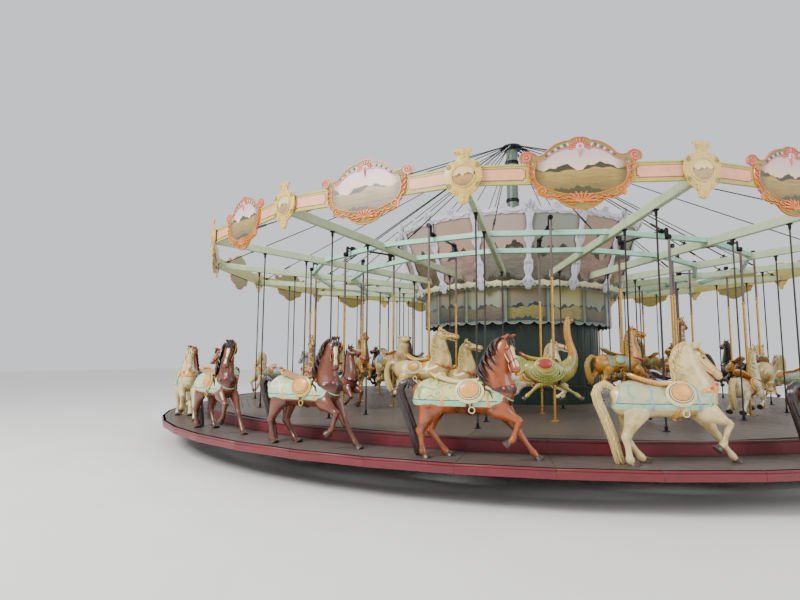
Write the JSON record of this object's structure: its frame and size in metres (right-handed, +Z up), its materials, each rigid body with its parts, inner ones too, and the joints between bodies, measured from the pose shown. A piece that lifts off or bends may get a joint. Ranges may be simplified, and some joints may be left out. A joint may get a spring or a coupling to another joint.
{
  "type": "fairground carousel",
  "caption": "Indoor menagerie carousel: mast and housing, sweep frame with cranks, painted drum, rounding boards, stepped platform, standing and jumping animals",
  "frame": {"origin": "on the floor under the mast's axis", "axes": "+Z up along the mast; one sweep lies along -Y, and the animals there face +X"},
  "size_m": [16, 16, 7.14],
  "materials": {
    "mast_paint": "satin enamel",
    "housing_paint": "dark green gloss paint on boards",
    "black_iron": "black oil paint",
    "sweep_timber": "pale mint paint",
    "ring_timber": "mint paint",
    "board_paint": "cream, peach and pink paint under varnish",
    "drum_paint": "white and cream paint with painted panels",
    "skirt_paint": "dark painted panels",
    "deck_board": "dark boards with maroon edges",
    "animal_paint": "carved and painted wood under glossy varnish",
    "brass": "polished"
  },
  "bodies": {
    "centre": {"mast": "mast_paint", "housing": "housing_paint"},
    "turning_frame": {"hub": "black_iron", "sweep_01": "sweep_timber", "sweep_02": "sweep_timber", "sweep_03": "sweep_timber", "sweep_04": "sweep_timber", "sweep_05": "sweep_timber", "sweep_06": "sweep_timber", "sweep_07": "sweep_timber", "sweep_08": "sweep_timber", "sweep_09": "sweep_timber", "sweep_10": "sweep_timber", "sweep_11": "sweep_timber", "sweep_12": "sweep_timber", "sweep_13": "sweep_timber", "sweep_14": "sweep_timber", "sweep_15": "sweep_timber", "sweep_16": "sweep_timber", "crank_frame": "ring_timber", "rounding_boards": "board_paint", "stay_rods": "black_iron", "drum": "drum_paint", "skirt": "skirt_paint", "upper_deck": "deck_board", "outer_deck_1": "deck_board", "outer_deck_2": "deck_board", "outer_deck_3": "deck_board"},
    "high_jumpers": {"inner_jumper_02": "animal_paint", "inner_jumper_03": "animal_paint", "inner_jumper_06": "animal_paint", "inner_jumper_07": "animal_paint", "inner_jumper_10": "animal_paint", "inner_jumper_11": "animal_paint", "inner_jumper_14": "animal_paint", "inner_jumper_15": "animal_paint", "outer_jumper_01": "animal_paint", "outer_jumper_04": "animal_paint", "outer_jumper_05": "animal_paint", "outer_jumper_08": "animal_paint", "outer_jumper_09": "animal_paint", "outer_jumper_12": "animal_paint", "outer_jumper_13": "animal_paint", "outer_jumper_16": "animal_paint"},
    "low_jumpers": {"inner_jumper_01": "animal_paint", "inner_jumper_04": "animal_paint", "inner_jumper_05": "animal_paint", "inner_jumper_08": "animal_paint", "inner_jumper_09": "animal_paint", "inner_jumper_12": "animal_paint", "inner_jumper_13": "animal_paint", "inner_jumper_16": "animal_paint", "outer_jumper_02": "animal_paint", "outer_jumper_03": "animal_paint", "outer_jumper_06": "animal_paint", "outer_jumper_07": "animal_paint", "outer_jumper_10": "animal_paint", "outer_jumper_11": "animal_paint", "outer_jumper_14": "animal_paint", "outer_jumper_15": "animal_paint"}
  },
  "joints": [
    {"name": "turn", "type": "hinge", "parent": "centre", "child": "turning_frame", "pos_m": [0, 0, 0], "axis": [0, 0, 1], "continuous": true},
    {"name": "high_stroke", "type": "slide", "parent": "turning_frame", "child": "high_jumpers", "axis": [0, 0, 1], "range_m": [-0.26, 0]},
    {"name": "low_stroke", "type": "slide", "parent": "turning_frame", "child": "low_jumpers", "axis": [0, 0, 1], "range_m": [0, 0.26]}
  ],
  "couplings": [
    {"joint": "low_stroke", "follows": "high_stroke", "ratio": -1}
  ]
}
